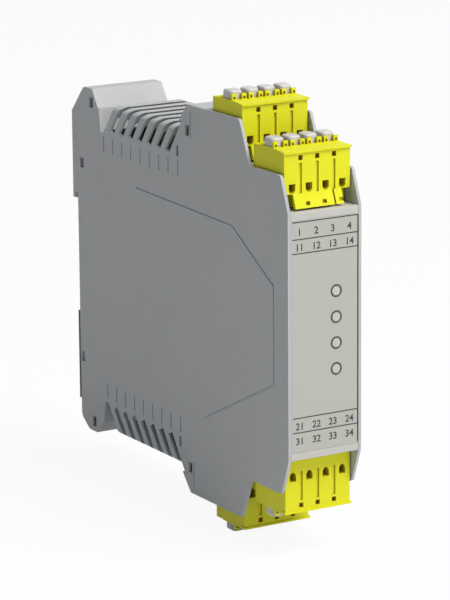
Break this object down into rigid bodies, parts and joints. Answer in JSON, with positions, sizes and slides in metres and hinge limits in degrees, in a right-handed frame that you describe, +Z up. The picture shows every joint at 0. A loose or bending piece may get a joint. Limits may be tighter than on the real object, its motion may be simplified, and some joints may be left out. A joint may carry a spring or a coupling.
{
  "type": "relay module",
  "caption": "Slim DIN-rail safety relay module with pluggable spring-clamp terminal blocks, louvred housing, indicator lamps and a sliding foot latch.",
  "frame": {"origin": "centre of the rail seat: on the seat plane, at the rail's centre line, midway across the module", "axes": "+X across the module to the right as seen from the front, +Y rearwards out of the rail seat, +Z up"},
  "size_m": [0.0226, 0.1145, 0.12],
  "materials": {
    "side_grey": "fine moulded texture, bluish grey",
    "front_grey": "fine moulded texture, light grey",
    "label_grey": "satin printed sheet",
    "plug_yellow": "satin yellow nylon",
    "pad_white": "satin off-white",
    "black_plastic": "matt black",
    "clear_pipe": "clear",
    "lamp": "clear resin",
    "board": "green solder resist",
    "relay_case": "moulded case",
    "can": "sleeved can",
    "chip": "matt black",
    "spring_steel": "bright spring strip",
    "pin_metal": "tin-plated"
  },
  "bodies": {
    "housing": {"capacitors": "can", "controller_chips": "chip", "front_cap": "front_grey", "header_front_lower": "black_plastic", "header_front_upper": "black_plastic", "header_pins_front_lower": "pin_metal", "header_pins_front_upper": "pin_metal", "header_pins_rear_lower": "pin_metal", "header_pins_rear_upper": "pin_metal", "header_rear_lower": "black_plastic", "header_rear_upper": "black_plastic", "housing_shell": "side_grey", "indicator_board": "board", "indicator_lamps": "lamp", "label_plate": "label_grey", "latch_spring": "spring_steel", "light_pipe_1": "clear_pipe", "light_pipe_2": "clear_pipe", "light_pipe_3": "clear_pipe", "light_pipe_4": "clear_pipe", "main_board": "board", "relay_1": "relay_case", "relay_2": "relay_case", "relay_3": "relay_case", "side_cover": "side_grey"},
    "plug_front_upper": {"plug_front_upper": "plug_yellow", "clamp_springs_front_upper": "spring_steel"},
    "pad_front_upper_1": {"pad_front_upper_1": "pad_white"},
    "pad_front_upper_2": {"pad_front_upper_2": "pad_white"},
    "pad_front_upper_3": {"pad_front_upper_3": "pad_white"},
    "pad_front_upper_4": {"pad_front_upper_4": "pad_white"},
    "plug_rear_upper": {"plug_rear_upper": "plug_yellow", "clamp_springs_rear_upper": "spring_steel"},
    "pad_rear_upper_1": {"pad_rear_upper_1": "pad_white"},
    "pad_rear_upper_2": {"pad_rear_upper_2": "pad_white"},
    "pad_rear_upper_3": {"pad_rear_upper_3": "pad_white"},
    "pad_rear_upper_4": {"pad_rear_upper_4": "pad_white"},
    "plug_front_lower": {"plug_front_lower": "plug_yellow", "clamp_springs_front_lower": "spring_steel"},
    "pad_front_lower_1": {"pad_front_lower_1": "pad_white"},
    "pad_front_lower_2": {"pad_front_lower_2": "pad_white"},
    "pad_front_lower_3": {"pad_front_lower_3": "pad_white"},
    "pad_front_lower_4": {"pad_front_lower_4": "pad_white"},
    "plug_rear_lower": {"plug_rear_lower": "plug_yellow", "clamp_springs_rear_lower": "spring_steel"},
    "pad_rear_lower_1": {"pad_rear_lower_1": "pad_white"},
    "pad_rear_lower_2": {"pad_rear_lower_2": "pad_white"},
    "pad_rear_lower_3": {"pad_rear_lower_3": "pad_white"},
    "pad_rear_lower_4": {"pad_rear_lower_4": "pad_white"},
    "foot_latch": {"foot_latch": "black_plastic"}
  },
  "joints": [
    {"name": "unplug_front_upper", "type": "slide", "parent": "housing", "child": "plug_front_upper", "axis": [0, -1, 0], "range_m": [0, 0.01]},
    {"name": "press_front_upper_1", "type": "slide", "parent": "plug_front_upper", "child": "pad_front_upper_1", "axis": [0, 0, -1], "range_m": [0, 0.001], "stiffness_N_per_m": 400, "springref_m": -0.001},
    {"name": "press_front_upper_2", "type": "slide", "parent": "plug_front_upper", "child": "pad_front_upper_2", "axis": [0, 0, -1], "range_m": [0, 0.001], "stiffness_N_per_m": 400, "springref_m": -0.001},
    {"name": "press_front_upper_3", "type": "slide", "parent": "plug_front_upper", "child": "pad_front_upper_3", "axis": [0, 0, -1], "range_m": [0, 0.001], "stiffness_N_per_m": 400, "springref_m": -0.001},
    {"name": "press_front_upper_4", "type": "slide", "parent": "plug_front_upper", "child": "pad_front_upper_4", "axis": [0, 0, -1], "range_m": [0, 0.001], "stiffness_N_per_m": 400, "springref_m": -0.001},
    {"name": "unplug_rear_upper", "type": "slide", "parent": "housing", "child": "plug_rear_upper", "axis": [0, -1, 0], "range_m": [0, 0.0035]},
    {"name": "press_rear_upper_1", "type": "slide", "parent": "plug_rear_upper", "child": "pad_rear_upper_1", "axis": [0, 0, -1], "range_m": [0, 0.001], "stiffness_N_per_m": 400, "springref_m": -0.001},
    {"name": "press_rear_upper_2", "type": "slide", "parent": "plug_rear_upper", "child": "pad_rear_upper_2", "axis": [0, 0, -1], "range_m": [0, 0.001], "stiffness_N_per_m": 400, "springref_m": -0.001},
    {"name": "press_rear_upper_3", "type": "slide", "parent": "plug_rear_upper", "child": "pad_rear_upper_3", "axis": [0, 0, -1], "range_m": [0, 0.001], "stiffness_N_per_m": 400, "springref_m": -0.001},
    {"name": "press_rear_upper_4", "type": "slide", "parent": "plug_rear_upper", "child": "pad_rear_upper_4", "axis": [0, 0, -1], "range_m": [0, 0.001], "stiffness_N_per_m": 400, "springref_m": -0.001},
    {"name": "unplug_front_lower", "type": "slide", "parent": "housing", "child": "plug_front_lower", "axis": [0, -1, 0], "range_m": [0, 0.01]},
    {"name": "press_front_lower_1", "type": "slide", "parent": "plug_front_lower", "child": "pad_front_lower_1", "axis": [0, 0, 1], "range_m": [0, 0.001], "stiffness_N_per_m": 400, "springref_m": -0.001},
    {"name": "press_front_lower_2", "type": "slide", "parent": "plug_front_lower", "child": "pad_front_lower_2", "axis": [0, 0, 1], "range_m": [0, 0.001], "stiffness_N_per_m": 400, "springref_m": -0.001},
    {"name": "press_front_lower_3", "type": "slide", "parent": "plug_front_lower", "child": "pad_front_lower_3", "axis": [0, 0, 1], "range_m": [0, 0.001], "stiffness_N_per_m": 400, "springref_m": -0.001},
    {"name": "press_front_lower_4", "type": "slide", "parent": "plug_front_lower", "child": "pad_front_lower_4", "axis": [0, 0, 1], "range_m": [0, 0.001], "stiffness_N_per_m": 400, "springref_m": -0.001},
    {"name": "unplug_rear_lower", "type": "slide", "parent": "housing", "child": "plug_rear_lower", "axis": [0, -1, 0], "range_m": [0, 0.0035]},
    {"name": "press_rear_lower_1", "type": "slide", "parent": "plug_rear_lower", "child": "pad_rear_lower_1", "axis": [0, 0, 1], "range_m": [0, 0.001], "stiffness_N_per_m": 400, "springref_m": -0.001},
    {"name": "press_rear_lower_2", "type": "slide", "parent": "plug_rear_lower", "child": "pad_rear_lower_2", "axis": [0, 0, 1], "range_m": [0, 0.001], "stiffness_N_per_m": 400, "springref_m": -0.001},
    {"name": "press_rear_lower_3", "type": "slide", "parent": "plug_rear_lower", "child": "pad_rear_lower_3", "axis": [0, 0, 1], "range_m": [0, 0.001], "stiffness_N_per_m": 400, "springref_m": -0.001},
    {"name": "press_rear_lower_4", "type": "slide", "parent": "plug_rear_lower", "child": "pad_rear_lower_4", "axis": [0, 0, 1], "range_m": [0, 0.001], "stiffness_N_per_m": 400, "springref_m": -0.001},
    {"name": "latch_slide", "type": "slide", "parent": "housing", "child": "foot_latch", "axis": [0, 0, -1], "range_m": [0, 0.003], "stiffness_N_per_m": 1000, "springref_m": -0.002, "deforming": ["latch_spring"]}
  ]
}
